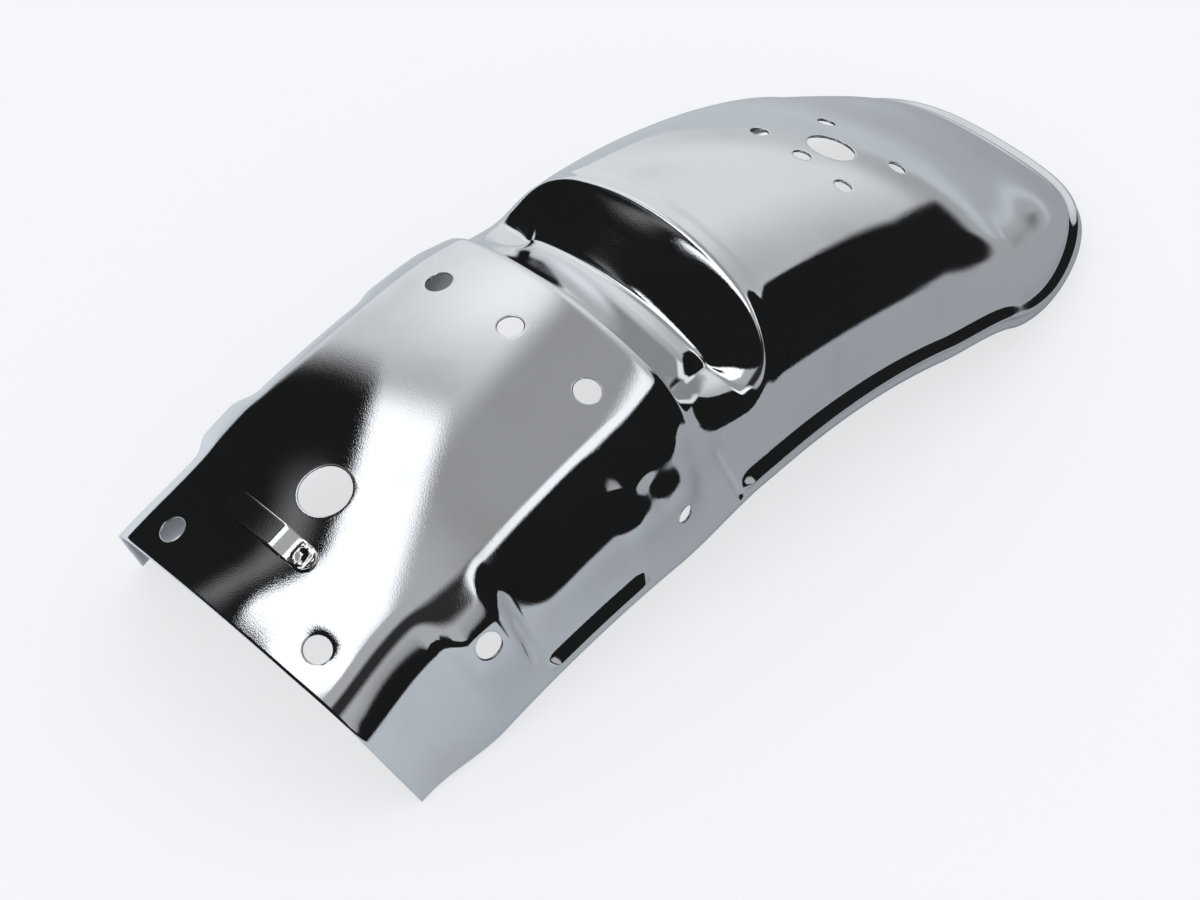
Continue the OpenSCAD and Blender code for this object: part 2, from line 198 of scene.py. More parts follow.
def plain_section(s, q):
    """Place across and drop, where q runs to 1 on the crown, 2 corner, 3 wall, 4 bead and 5 lip."""
    f, r, a = flare(s), corner(s), crown_end(s)
    turn = math.pi / 2 - f
    wall = (depth(s) - CROWN_RADIUS + (CROWN_RADIUS - r) * np.cos(a) + r * np.sin(f)) / np.cos(f)
    b1 = a * np.clip(q, 0, 1)
    b2 = a + (turn - a) * np.clip(q - 1, 0, 1)
    run = ((wall - BAND_W) * np.clip(q - 2, 0, 1) + BEAD_W * np.clip(q - 3, 0, 1)
           + LIP_W * np.clip(q - 4, 0, 1))
    y = CROWN_RADIUS * np.sin(b1) + r * (np.sin(b2) - np.sin(a)) * (q > 1) + run * np.sin(f)
    d = CROWN_RADIUS * (1 - np.cos(b1)) + r * (np.cos(a) - np.cos(b2)) * (q > 1) + run * np.cos(f)
    return y, d


def bead_profile(q):
    """Height across the bead: a long upper flank, then a short way back to the lip."""
    t = q - 3
    up = mix(np.clip(t / BEAD_FLANK, 0, 1), ramp(t, 0, BEAD_FLANK), BEAD_ROUND)
    return BEAD_H * (up - ramp(t, BEAD_FLANK + BEAD_TOP, 1))


def bead_lift(s, q):
    """Height of the bead or rib over the wall."""
    rib_end = RIB_START + RIB_L
    share = (ramp(s, RIB_START, RIB_START + BEAD_RUN) - ramp(s, rib_end - BEAD_RUN, rib_end)
             + ramp(s, BEAD_START, BEAD_START + BEAD_RUN))
    return bead_profile(q) * share


def pad_push(s, d):
    """How far the upright pads round the side holes stand out."""
    out = sum(push * (ramp(s, first - run, first) - ramp(s, last, last + run))
              for first, last, run, push in PADS)
    return out * ramp(d, *PAD_RISE) * (1 - ramp(d, *PAD_OUT))


def step_press(s, w):
    """How deep the step is pressed in at station s, a way w round the section from its middle."""
    side = 1 - ramp(w, STEP_END - STEP_FADE, STEP_END)
    reach = RISER_L * np.sqrt(np.maximum(1 - (w / RISER_REACH) ** 2, 0.04))
    ledge = np.sin(0.5 * math.pi * np.clip((s - STEP_EDGE) / LEDGE_W, -0.5, 1))
    riser = 1 - (s - RISER_S) / reach
    lower = 0.5 * (ledge + riser - np.hypot(ledge - riser, STEP_SOFT))
    share = 0.5 * (lower + np.hypot(lower, STEP_SOFT))
    groove = GROOVE_DEPTH * np.exp(-((s - RISER_S - reach - GROOVE_BACK) / GROOVE_W) ** 2)
    return side * (STEP_DEPTH * share + groove)


def under_corner(s, past):
    """Slight swell of the front stretch's wall, past millimetres below the corner, as a press."""
    along = ramp(s, *SWELL_ON) - ramp(s, *SWELL_OFF)
    return -SWELL * along * np.exp(-((past - SWELL_AT) / SWELL_W) ** 2)


# Dents, pockets and creases as first point, last point, width and depth, in the crown line's frame
DENTS = [
    ((142.5, -68.0, 13.5), (146.5, -70.5, 4.0), 3.6, 0.8),
    ((76.5, -70.0, -6.0), (83.0, -73.2, -27.0), 1.2, 0.85),
    ((175.7, -68.2, 5.1), (181.9, -74.9, -16.3), 1.0, 0.6),
    ((181.0, -69.5, 4.0), (182.0, -69.8, 3.0), 8.0, 0.5),
    ((171.2, -40.3, 34.1), (177.6, -46.9, 26.6), 1.4, 0.35),
    ((177.6, -46.9, 26.6), (174.8, -58.7, 20.3), 1.4, 0.4),
    ((174.8, -58.7, 20.3), (176.7, -64.0, 12.8), 1.4, 0.5),
    ((178.0, -57.0, 20.0), (184.0, -62.0, 12.0), 1.6, -0.4),
    ((172.0, -60.0, 18.0), (180.0, -66.0, 8.0), 1.5, 0.4),
    ((181.0, -55.0, 20.0), (176.0, -66.0, 9.0), 1.4, -0.3),
    ((185.0, -33.0, 27.0), (187.0, -34.0, 26.0), 9.0, 0.95),
    ((187.0, -54.0, 17.0), (189.0, -54.0, 17.0), 7.0, -0.7),
    ((178.4, 33.3, 30.8), (180.2, 10.3, 33.3), 2.0, 0.35),
    ((180.4, -1.8, 33.6), (180.4, -9.9, 33.2), 1.8, 0.45),
    ((14.6, -38.0, 2.4), (14.7, -38.0, 2.4), 8.0, 0.8),
]


def dent(p):
    """How far the dents press the sheet in at points p."""
    total = 0
    for first, last, width, sink in DENTS:
        first, run = np.array(first), np.array(last) - np.array(first)
        t = np.clip(((p - first) @ run) / (run @ run), 0, 1)
        far = np.linalg.norm(p - first - t[..., None] * run, axis=-1) / width
        total = total + sink * np.exp(-far ** 2)
    return total


def sheet_point(s, q, sign):
    """Point of the outer face at station s and place q across, on the side that sign gives."""
    y, d = plain_section(s, q)
    f, lift = flare(s), bead_lift(s, q)
    y_out = y + pad_push(s, d) + lift * np.cos(f)
    lean = FRONT_LEAN * (1 - d / FRONT_DEPTH) * np.clip(1 - s / LEAN_RUN, 0, 1)
    end = crown_end(s)
    crown_way, corner_way = CROWN_RADIUS * end, corner(s) * (math.pi / 2 - f - end)
    on_arc, on_corner, on_wall = (np.clip(q - k, 0, 1) for k in range(3))
    tip = end * on_arc + (math.pi / 2 - f - end) * on_corner
    way = crown_way * on_arc + corner_way * on_corner + WALL_WAY * on_wall
    press = (step_press(s, way) + under_corner(s, way - crown_way - corner_way)
             + dent(place(s, sign * y_out, d)))
    y_in, drop = sign * (y_out - press * np.sin(tip)), d + press * np.cos(tip) - lift * np.sin(f)
    return place(s + lean, y_in, drop)


def tail_point(turn, q):
    """Point of the round tail, on the ray that turns from 0 at the far wall to pi at the near one.

    The wall's drop fades away as the ray turns, so that the crown runs out into a flat rim, and the
    bead's flank turns from the wall's lean to level with the rim.
    """
    s = TAIL_S + 0 * turn
    yb, db = plain_section(s, np.minimum(q, 3))
    y_foot, _ = plain_section(s, 3 + 0 * q)
    c, sn = np.cos(turn), np.sin(turn)
    y_rim = HALF_W * np.sign(c) * np.abs(c) ** TAIL_BLUNT
    x_rim = TAIL_L * np.abs(sn) ** TAIL_BLUNT
    reach = np.hypot(y_rim, x_rim)
    lean = math.pi / 2 - (math.pi / 2 - flare(s)) * np.abs(c) ** TAIL_TURN
    inner = reach - BAND_W * np.sin(lean)
    share = yb / y_foot
    crown = CROWN_RADIUS - np.sqrt(CROWN_RADIUS ** 2 - (y_rim / reach * inner * share) ** 2)
    wall = db - CROWN_RADIUS + np.sqrt(CROWN_RADIUS ** 2 - yb ** 2)
    rise = TAIL_RISE * sn ** 2 * ramp(share, RISE_FROM, 1)
    ease = DEPTH_FALL * TAIL_L * sn * c ** 2 * ramp(share, EASE_FROM, 1)
    band = BEAD_W * np.clip(q - 3, 0, 1) + LIP_W * np.clip(q - 4, 0, 1)
    lift = bead_profile(q)
    out = inner * share + band * np.sin(lean) + lift * np.cos(lean)
    d = (crown * (1 - TAIL_FLAT * sn ** 2) + wall * np.abs(c) ** TAIL_FADE - ease - rise
         + band * np.cos(lean) - lift * np.sin(lean))
    return place(s + x_rim / reach * out, y_rim / reach * out, d)


# The fender rests on its front corners and its tail, and its box sits on the CAD's box
FRONT_TOE = sheet_point(np.array(0.0), np.array(5.0), 1)
TAIL_TOE = tail_point(np.array(math.pi / 2), np.array(5.0))
REST_TILT = math.atan2(FRONT_TOE[2] - TAIL_TOE[2], TAIL_TOE[0] - FRONT_TOE[0])


def level(p):
    """Turns points of the crown line's frame so that both toes stand on a level floor."""
    c, s = math.cos(REST_TILT), math.sin(REST_TILT)
    x, y, z = p[..., 0], p[..., 1], p[..., 2]
    return np.stack([x * c - z * s, y, x * s + z * c], axis=-1)


def to_frame(p):
    """Levels points in millimetres and moves them to the frame, in metres."""
    return level(p) * MM + ORIGIN


# Places across the sheet, stations along it, given as (first, last, step), and rays of the tail;
# they are closer together where the sheet bends
CROWN_Q = np.linspace(0, 1, 21)
CORNER_Q = np.linspace(1, 2, 25)[1:]
WALL_Q = np.linspace(2, 3, 21)[1:]
BAND_Q = np.concatenate([np.linspace(3, 4, 11)[1:], np.linspace(4, 5, 4)[1:]])
HALF_Q = np.concatenate([CROWN_Q, CORNER_Q, WALL_Q, BAND_Q])
STATIONS = np.concatenate([np.arange(first, last, step) for first, last, step in (
    (0, 72, 2), (72, 88, 0.8), (88, 168, 2), (168, 188, 0.8), (188, RISER_S - 4, 1.5),
    (RISER_S - 4, RISER_S + RISER_L + 2, 0.6), (RISER_S + RISER_L + 2, TAIL_S - 1, 2),
)] + [[TAIL_S]])
TURNS = np.linspace(math.pi, 0, 73)

# Rolled edge of a punched hole as (way out from the edge, sink), the shares of the way from there
# to the grid where more rings lie, and the least way from the edge to the grid
ROLL_RINGS = [(0.0, 0.28), (0.14, 0.1), (0.4, 0.02), (0.85, 0.0)]
OUTER_RINGS = (0.4, 0.7)
HOLE_MARGIN = 0.9


def crown_chart(s, v):
    """Outer face at station s and place v across, on the crown."""
    return sheet_point(s, np.arcsin(np.abs(v) / CROWN_RADIUS) / crown_end(s), np.sign(v))


def hole_patch(chart, s0, v0, radius, loop):
    """Rings of points round a hole with a rolled edge, from the hole out to the grid's loop.

    The chart gives the point of the outer face at a station and a v, and the loop holds such pairs.
    """
    middle, loop = np.array([s0, v0]), np.array(loop)
    far = np.hypot(*(loop - middle).T)
    angle = np.arctan2(loop[:, 1] - v0, loop[:, 0] - s0)
    ray = np.stack([np.cos(angle), np.sin(angle)], axis=1)
    rings = [(middle + (radius + out) * ray, sink) for out, sink in ROLL_RINGS]
    for share in OUTER_RINGS:
        rings.append((middle + mix(radius + ROLL_RINGS[-1][0], far, share)[:, None] * ray, 0.0))
    step = 0.05
    result = []
    for at, sink in rings:
        s, v = at.T
        along = chart(s + step, v) - chart(s - step, v)
        across = chart(s, v + step) - chart(s, v - step)
        normal = np.cross(along, across)
        normal *= (np.sign(normal[:, 2]) / np.linalg.norm(normal, axis=1))[:, None]
        result.append(chart(s, v) - sink * normal)
    return result


def window(lines, middle, reach):
    """Indices of the grid lines just outside middle - reach and middle + reach."""
    return np.searchsorted(lines, middle - reach) - 1, np.searchsorted(lines, middle + reach)


def hole_windows(q, across):
    """The grid's window, chart, middle, radius and v of the grid's points for each punched hole.

    On the crown v is the place across, and on a wall it is the drop from the hole's middle.
    """
    holes = []
    for s0, y0, size in CROWN_HOLES:
        reach = size / 2 + HOLE_MARGIN
        i0, i1 = window(STATIONS, s0, reach)
        k0, k1 = window(across[(i0 + i1) // 2], y0, reach)
        holes.append((i0, i1, k0, k1, crown_chart, s0, y0, size / 2, across))
    for s0, drop, size in WALL_HOLES:
        _, (top, foot) = plain_section(np.array(s0), np.array([2.0, 3.0]))
        scale = 1 / (foot - top)
        q0 = 2 + (drop - top) * scale
        reach = size / 2 + HOLE_MARGIN
        i0, i1 = window(STATIONS, s0, reach)
        h0, h1 = window(HALF_Q, q0, reach * scale)
        for side in (-1, 1):
            k0, k1 = sorted((len(HALF_Q) - 1 + side * h0, len(HALF_Q) - 1 + side * h1))

            def chart(s, v, side=side, q0=q0, scale=scale):
                return sheet_point(s, q0 + v * scale, side)

            holes.append((i0, i1, k0, k1, chart, s0, 0.0, size / 2, (np.abs(q) - q0) / scale))
    return holes


def sheet_mesh():
    """Vertices in millimetres and faces of the whole outer face, with its round holes."""
    q_all = np.concatenate([-HALF_Q[:0:-1], HALF_Q])
    sign = np.sign(q_all)
    s, q = np.meshgrid(STATIONS, np.abs(q_all), indexing="ij")
    rows = sheet_point(s, q, np.broadcast_to(sign, s.shape))
    n_row, n_s, n_h = len(q_all), len(STATIONS), len(HALF_Q)
    turn, tail_q = np.meshgrid(TURNS[1:-1], HALF_Q[1:], indexing="ij")
    points = [rows.reshape(-1, 3), tail_point(turn, tail_q).reshape(-1, 3)]
    total = sum(len(part) for part in points)
    across = sign * CROWN_RADIUS * np.sin(crown_end(s) * np.minimum(q, 1))
    keep = np.ones((n_s - 1, n_row - 1), bool)
    faces = []
    for i0, i1, k0, k1, chart, s0, v0, radius, v_grid in hole_windows(q, across):
        keep[i0:i1, k0:k1] = False
        loop = ([(i, k0) for i in range(i0, i1)] + [(i1, k) for k in range(k0, k1)]
                + [(i, k1) for i in range(i1, i0, -1)] + [(i0, k) for k in range(k1, k0, -1)])
        rings = hole_patch(chart, s0, v0, radius, [(STATIONS[i], v_grid[i, k]) for i, k in loop])
        count = len(loop)
        ids = [list(range(total + j * count, total + (j + 1) * count)) for j in range(len(rings))]
        ids.append([i * n_row + k for i, k in loop])
        points += rings
        total += len(rings) * count
        for a, b in zip(ids[:-1], ids[1:]):
            faces += [(b[j], b[(j + 1) % count], a[(j + 1) % count], a[j]) for j in range(count)]
    faces += [(i * n_row + k, (i + 1) * n_row + k, (i + 1) * n_row + k + 1, i * n_row + k + 1)
              for i in range(n_s - 1) for k in range(n_row - 1) if keep[i, k]]
    last, fan = n_s * n_row - n_h, n_s * n_row

    def ray(i, k):
        """Vertex k on ray i of the tail; the first and last ray are the grid's last row."""
        if k == 0 or i == 0:
            return last - k
        if i == len(TURNS) - 1:
            return last + k
        return fan + (i - 1) * (n_h - 1) + k - 1

    for i in range(len(TURNS) - 1):
        faces.append((ray(i, 0), ray(i, 1), ray(i + 1, 1)))
        faces += [(ray(i, k), ray(i, k + 1), ray(i + 1, k + 1), ray(i + 1, k))
                  for k in range(1, n_h - 1)]
    return np.concatenate(points), faces


class Maths:
    """Short names for the number nodes of one node tree."""

    def __init__(self, tree):
        self.nodes, self.links = tree.nodes, tree.links

    def op(self, kind, *values):
        node = self.nodes.new("ShaderNodeMath")
        node.operation = kind
        for slot, value in zip(node.inputs, values):
            if isinstance(value, (int, float)):
                slot.default_value = value
            else:
                self.links.new(value, slot)
        return node.outputs[0]

    def add(self, a, b):
        return self.op("ADD", a, b)

    def mul(self, a, b):
        return self.op("MULTIPLY", a, b)

    def fade(self, value, start, end):
        """Smooth step from 0 at start to 1 at end; start may lie above end."""
        node = self.nodes.new("ShaderNodeMapRange")
        node.interpolation_type = "SMOOTHSTEP"
        self.links.new(value, node.inputs["Value"])
        node.inputs["From Min"].default_value = start
        node.inputs["From Max"].default_value = end
        return node.outputs["Result"]

    def over(self, value, mask, target):
        """value where the mask is 0, target where it is 1."""
        return self.add(self.mul(value, self.op("SUBTRACT", 1.0, mask)), self.mul(mask, target))


def make_mesh(name, points, faces, smooth=True):
    """Object with a mesh of the points, in metres, and the faces."""
    mesh = bpy.data.meshes.new(name)
    mesh.from_pydata([tuple(p) for p in points], [], [tuple(f) for f in faces])
    mesh.validate()
    mesh.polygons.foreach_set("use_smooth", [smooth] * len(mesh.polygons))
    piece = bpy.data.objects.new(name, mesh)
    bpy.context.scene.collection.objects.link(piece)
    return piece


def thicken(piece):
    """Gives a piece, modelled as its outer face, the sheet's thickness inward."""
    solid = piece.modifiers.new("thickness", "SOLIDIFY")
    solid.thickness = SHEET * MM
    solid.offset = -1
    solid.use_even_offset = True


# Surface of the chrome: scale and height, in millimetres, of the slow waves and of the fine grain
WAVE_SCALE, WAVE = 22, 0.05
GRAIN_SCALE, GRAIN = 1900, 0.012
# Scale and added roughness of the dull patches and the wiping marks, which run lengthwise, and
# scale and tint of the stained patches
DULL_SCALE, DULL, WIPE_SCALE, WIPE = 9, 0.05, 260, 0.03
STAIN_SCALE, STAIN = 35, (0.93, 0.92, 0.90)


def chrome(name, tint=(0.80, 0.81, 0.83), rough=0.02):
    """Plated steel: slow waves, fine grain, wiping marks, and duller and stained patches."""
    mat = bpy.data.materials.new(name)
    mat.use_nodes = True
    nodes, links = mat.node_tree.nodes, mat.node_tree.links
    shader = nodes["Principled BSDF"]
    shader.inputs["Metallic"].default_value = 1
    coord = nodes.new("ShaderNodeTexCoord").outputs["Object"]

    def noise(scale, detail, stretch=(1, 1, 1)):
        spread = nodes.new("ShaderNodeMapping")
        spread.inputs["Scale"].default_value = stretch
        links.new(coord, spread.inputs["Vector"])
        node = nodes.new("ShaderNodeTexNoise")
        node.inputs["Scale"].default_value = scale
        node.inputs["Detail"].default_value = detail
        links.new(spread.outputs[0], node.inputs["Vector"])
        return node.outputs["Fac"]

    def bump(height, size, under=None):
        node = nodes.new("ShaderNodeBump")
        node.inputs["Strength"].default_value = 1.0
        node.inputs["Distance"].default_value = size * MM
        links.new(height, node.inputs["Height"])
        if under:
            links.new(under, node.inputs["Normal"])
        return node.outputs["Normal"]

    def remap(value, low, high, out_low, out_high):
        node = nodes.new("ShaderNodeMapRange")
        node.inputs["From Min"].default_value = low
        node.inputs["From Max"].default_value = high
        node.inputs["To Min"].default_value = out_low
        node.inputs["To Max"].default_value = out_high
        links.new(value, node.inputs["Value"])
        return node.outputs["Result"]

    waves = bump(noise(WAVE_SCALE, 1), WAVE)
    links.new(bump(noise(GRAIN_SCALE, 2), GRAIN, waves), shader.inputs["Normal"])
    m = Maths(mat.node_tree)
    dull = remap(noise(DULL_SCALE, 4), 0.42, 0.75, rough, rough + DULL)
    wipe = remap(noise(WIPE_SCALE, 3, (0.15, 1, 1)), 0.55, 0.8, 0.0, WIPE)
    links.new(m.add(dull, wipe), shader.inputs["Roughness"])
    stain = nodes.new("ShaderNodeMix")
    stain.data_type = "RGBA"
    stain.inputs["A"].default_value = (*tint, 1)
    stain.inputs["B"].default_value = (*(t * part for t, part in zip(tint, STAIN)), 1)
    links.new(remap(noise(STAIN_SCALE, 5), 0.5, 0.75, 0.0, 1.0), stain.inputs["Factor"])
    links.new(stain.outputs["Result"], shader.inputs["Base Color"])
    return mat


CHROME = chrome("chrome_sheet")
STRIP = chrome("chrome_strip", (0.76, 0.76, 0.75), 0.05)

points, faces = sheet_mesh()
box = level(points) * MM
low, high = box.min(axis=0), box.max(axis=0)
ORIGIN = np.array([(cad_box[0][0] + cad_box[1][0] - low[0] - high[0]) / 2, 0,
                   cad_box[1][2] - high[2]])

skin = make_mesh("fender_skin", to_frame(points), faces)
thicken(skin)
skin.data.materials.append(CHROME)
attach(skin, "root")
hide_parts("fender_shell")


def on_crown(p, s, y):
    """Moves points onto the crown at station s and place y across, into the crown line's frame.

    In the points given, X is rearward and Z is outward from the sheet's outer face.
    """
    at = np.array(float(s))
    tilt, turn = -math.asin(y / CROWN_RADIUS), -slope(at)
    ct, st, cr, sr = math.cos(tilt), math.sin(tilt), np.cos(turn), np.sin(turn)
    x, side, z = p[:, 0], p[:, 1] * ct - p[:, 2] * st, p[:, 1] * st + p[:, 2] * ct
    base = place(at, y, CROWN_RADIUS - math.sqrt(CROWN_RADIUS ** 2 - y * y))
    return np.stack([x * cr + z * sr, side, z * cr - x * sr], axis=1) + base


ACROSS = np.linspace(-1, 1, 13)
EDGE_ROUND = 0.22


def strip_piece(name, rows, s, y, skip=()):
    """Bent strip of sheet on the crown, from the rows of points of its outer face."""
    n_rows, n = len(rows), len(ACROSS)
    p = np.array(rows, float).reshape(-1, 3)
    quads = [(i * n + k, i * n + k + 1, (i + 1) * n + k + 1, (i + 1) * n + k)
             for i in range(n_rows - 1) for k in range(n - 1) if (i, k) not in skip]
    used = sorted({v for quad in quads for v in quad})
    index = {v: i for i, v in enumerate(used)}
    quads = [[index[v] for v in quad] for quad in quads]
    piece = make_mesh(name, to_frame(on_crown(p[used], s, y)), quads)
    thicken(piece)
    edge = piece.modifiers.new("edge", "BEVEL")
    edge.width = EDGE_ROUND * MM
    edge.segments = 2
    edge.limit_method = "ANGLE"
    edge.angle_limit = math.radians(50)
    piece.data.materials.append(STRIP)
    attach(piece, "root")
    return piece


# Clip: crumpled spot weld in the round foot, a bend, and a flat tongue free over the sheet
CLIP_S, CLIP_Y, CLIP_W, CLIP_L, CLIP_FOOT = 36.8, -12.0, 9.5, 42.0, 11.0
CLIP_GAP, CLIP_FREE, CLIP_BEND = 0.2, 2.6, (9.0, 17.5)
# Weld: its place along the clip, half the clip's width in its own measure, its reach and ripple,
# the pit as depth and radius, and the ring round it as height, radius and width
WELD_AT, WELD_HALF, WELD_REACH, RIPPLE = 5.6, 4.0, 4.2, 0.16
PIT, PIT_R = 0.5, 1.5
RING, RING_R, RING_W = 0.3, 2.5, 0.8


def weld(t, u):
    """Depth of the crumpled weld in the foot, at t along the clip and u across it."""
    r = math.hypot(t - WELD_AT, u * WELD_HALF)
    ripple = RIPPLE * math.sin(2.3 * t + 3.1 * u) * math.cos(5.2 * u - 1.4 * t)
    pit = PIT * math.exp(-(r / PIT_R) ** 2)
    ring = RING * math.exp(-((r - RING_R) / RING_W) ** 2)
    return (pit - ring + ripple) * math.exp(-(r / WELD_REACH) ** 6)


def clip_height(t):
    """Height of the clip's outer face over the crown, which curves away under the flat tongue."""
    free = CLIP_FREE - (t - CLIP_FOOT / 2) ** 2 / 2 / CROWN_RADIUS
    return CLIP_GAP + SHEET + free * float(ramp(t, *CLIP_BEND))


def clip_rows():
    """Rows of points of the clip's outer face, from its round foot to its round tip."""
    r = CLIP_W / 2
    foot = r - r * np.cos(np.linspace(0.05, math.pi / 2, 14))
    middle = np.linspace(r, CLIP_L - r, 52)[1:]
    tip = CLIP_L - r + r * np.sin(np.linspace(0, math.pi / 2 - 0.05, 14))[1:]
    rows = []
    for t in np.concatenate([foot, middle, tip]):
        half = math.sqrt(r * r - max(r - t, t - CLIP_L + r, 0) ** 2)
        rows.append([(half * u, t - CLIP_FOOT / 2, clip_height(t) - weld(t, u)) for u in ACROSS])
    return rows


clip = strip_piece("clip_skin", clip_rows(), CLIP_S, CLIP_Y)
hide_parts("harness_clip")

# Tab: foot under the crown and a short leg turned down at the front edge, with a notch of left-out
# faces in the middle of its end; its flat top stays clear of the arched sheet
TAB_W, TAB_Y, TAB_FOOT, TAB_DEPTH, TAB_BEND, TAB_GAP = 12.0, 22.0, 8.0, 4.5, 1.6, 0.2
TAB_TOP = -SHEET - TAB_GAP - TAB_W ** 2 / 8 / CROWN_RADIUS - TAB_FOOT ** 2 / 2 / FRONT_RADIUS
TAB_NOTCH = {(row, column) for row in range(12, 15) for column in (5, 6)}


def tab_rows():
    """Rows of points of the tab's outer face, from the foot's end round the bend and down the leg."""
    line = [(x, TAB_TOP) for x in np.linspace(TAB_FOOT, TAB_BEND, 6)]
    line += [(TAB_BEND * (1 - math.sin(a)), TAB_TOP - TAB_BEND * (1 - math.cos(a)))
             for a in np.linspace(0, math.pi / 2, 7)[1:]]
    line += [(0, z) for z in np.linspace(TAB_TOP - TAB_BEND, TAB_TOP - TAB_DEPTH, 5)[1:]]
    return [[(x, TAB_W / 2 * u, z) for u in ACROSS] for x, z in line]


tab = strip_piece("tab_skin", tab_rows(), FRONT_LEAN, TAB_Y, TAB_NOTCH)
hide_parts("front_tab")


# Studio: pale paper under the object, and round it the lamps and black flags that its chrome shows
PAPER = (0.93, 0.94, 0.96, 1)
PAPER_IN_CHROME = (0.92, 0.96, 1.0, 1)
LAMP_TINT = (0.95, 0.975, 1.0)
# Brightness of its parts; white paper is 1
LARGE_LAMP, STRIP_LAMP = 1.35, 1.15
DIFFUSER, GREY_ROOM, REAR_WALL, STREAK, BLACK = 0.56, 0.36, 0.42, 0.03, 0.012
# Half widths of an edge: of a flag's hard edge, of the far flag's and the large lamp's top, and of
# the large lamp's foot
FLAG_SOFT, TOP_SOFT, FOOT_SOFT = 0.008, 0.014, 0.04


def studio_light(m, x, y, z):
    """Brightness of the studio in the direction x (to the rear), y (to the far side), z (up).

    The direction is a unit vector, and each part covers those before it.
    """
    def minus(a, b):
        return m.op("SUBTRACT", a, b)

    def near(value, middle, outer, inner=0.0):
        """1 within inner of the middle, fading to 0 at outer."""
        return m.fade(m.op("ABSOLUTE", minus(value, middle)), outer, inner)

    def line(x0, y0, rise):
        """y of the straight edge through x0, y0 with the given rise."""
        return m.add(m.mul(m.add(x, -x0), rise), y0)

    def line_from(x0, rise):
        """Rise of an edge that is level up to x0."""
        return m.mul(m.op("MAXIMUM", m.add(x, -x0), 0.0), rise)

    # Pale diffuser behind and above: brighter to the rear, with a glow in it and a darker side
    value = m.add(DIFFUSER, m.mul(m.fade(x, 0.1, 0.4), 0.28))
    value = m.add(value, m.mul(m.mul(near(x, 0.38, 0.22), near(y, 0.65, 0.27)), 0.22))
    value = m.add(value, m.mul(m.mul(m.fade(y, 0.45, 0.1), m.fade(x, 0.4, 0.6)), -0.3))

    # Grey room between the diffuser and the near flag, with one dark streak towards the front
    room = m.mul(m.fade(minus(y, line(0.05, 0.33, 0.45)), 0.07, -0.09), m.fade(x, 0.62, 0.42))
    value = m.over(value, room, m.add(GREY_ROOM, m.mul(m.fade(x, 0.0, -0.15), 0.12)))
    streak = m.mul(near(y, -0.60, 0.20, 0.08), m.fade(x, 0.06, -0.08))
    value = m.over(value, streak, STREAK)

    # Narrow lamp over the near flag
    ends = m.mul(m.fade(x, -0.1, 0.03), m.fade(x, 0.52, 0.42))
    strip = m.mul(near(y, line(0.0, -0.60, 1.18), 0.15, 0.08), ends)
    value = m.over(value, strip, STRIP_LAMP)

    # Large lamp in front, between the far flag above it and the grey room below
    top = m.add(line_from(-0.2, 1.15), m.add(0.33, m.mul(near(x, -0.33, 0.09), 0.11)))
    foot = m.add(line_from(-0.24, 1.45), -0.12)
    between = m.mul(m.fade(minus(y, top), TOP_SOFT, -TOP_SOFT),
                    m.fade(minus(y, foot), -FOOT_SOFT, FOOT_SOFT))
    value = m.over(value, m.mul(between, m.fade(x, 0.16, 0.08)), LARGE_LAMP)

    # Far flag over the large lamp, with a faint haze in it, and the front flag
    haze = m.mul(near(minus(y, top), 0.17, 0.12), m.fade(x, 0.0, -0.15))
    far_end = m.fade(m.add(x, m.mul(m.add(y, -0.5), -0.25)), 0.14, 0.06)
    far = m.mul(m.fade(minus(y, top), -TOP_SOFT, TOP_SOFT), far_end)
    value = m.over(value, far, m.add(BLACK, m.mul(haze, 0.15)))
    value = m.over(value, m.fade(m.add(x, m.mul(y, -0.15)), -0.41, -0.44), BLACK)

    # Low wall at the rear, brighter to the far side
    rear = m.mul(m.fade(z, 0.22, 0.05), m.fade(x, 0.55, 0.8))
    value = m.over(value, rear, m.add(REAR_WALL, m.mul(m.fade(y, 0.3, 0.6), 0.22)))

    # Near flag: its upper edge bends at the step and rises lower down, and it ends over the paper
    lower = m.mul(m.op("MAXIMUM", minus(0.3, z), 0.0), 0.3)
    edge = m.op("MINIMUM", line(0.0, -0.73, 1.18), m.add(line(0.5, -0.08, 0.55), lower))
    flag = m.mul(m.fade(minus(y, edge), FLAG_SOFT, -FLAG_SOFT), m.fade(x, -0.02, 0.05))
    end = m.op("MINIMUM", line(0.0, -0.41, 0.53), 0.055)
    flag = m.mul(flag, m.fade(minus(z, end), -0.01, 0.01))
    return m.over(value, flag, BLACK)


# Floor: half its side in metres, and the share of it that is even for the camera, without shadows
FLOOR_HALF, GLOW = 4.0, 0.72
# Edge of the paper in the chrome, in metres: how much it slants, where it lies, its softness, and
# how much nearer to the object it is behind the front panel
EDGE_SLANT, EDGE_AT, EDGE_SOFT, EDGE_NEARER = 0.75, -0.29, 0.01, 0.067
PAPER_LIGHT, LIGHT_TO_FAR, LIGHT_TO_FRONT = 0.42, 0.22, 0.25


def floor_light(m, x, y):
    """Brightness of the floor in the chrome at x, y in metres: paper, and black in front of it."""
    nearer = m.mul(m.fade(x, -0.115, -0.09), -EDGE_NEARER)
    slant = m.add(m.add(y, m.mul(x, EDGE_SLANT)), nearer)
    paper = m.fade(slant, EDGE_AT - EDGE_SOFT, EDGE_AT + EDGE_SOFT)
    light = m.add(PAPER_LIGHT, m.mul(m.fade(y, 0.0, 0.2), LIGHT_TO_FAR))
    light = m.add(light, m.mul(m.fade(x, 0.08, -0.2), LIGHT_TO_FRONT))
    return m.mul(light, paper)


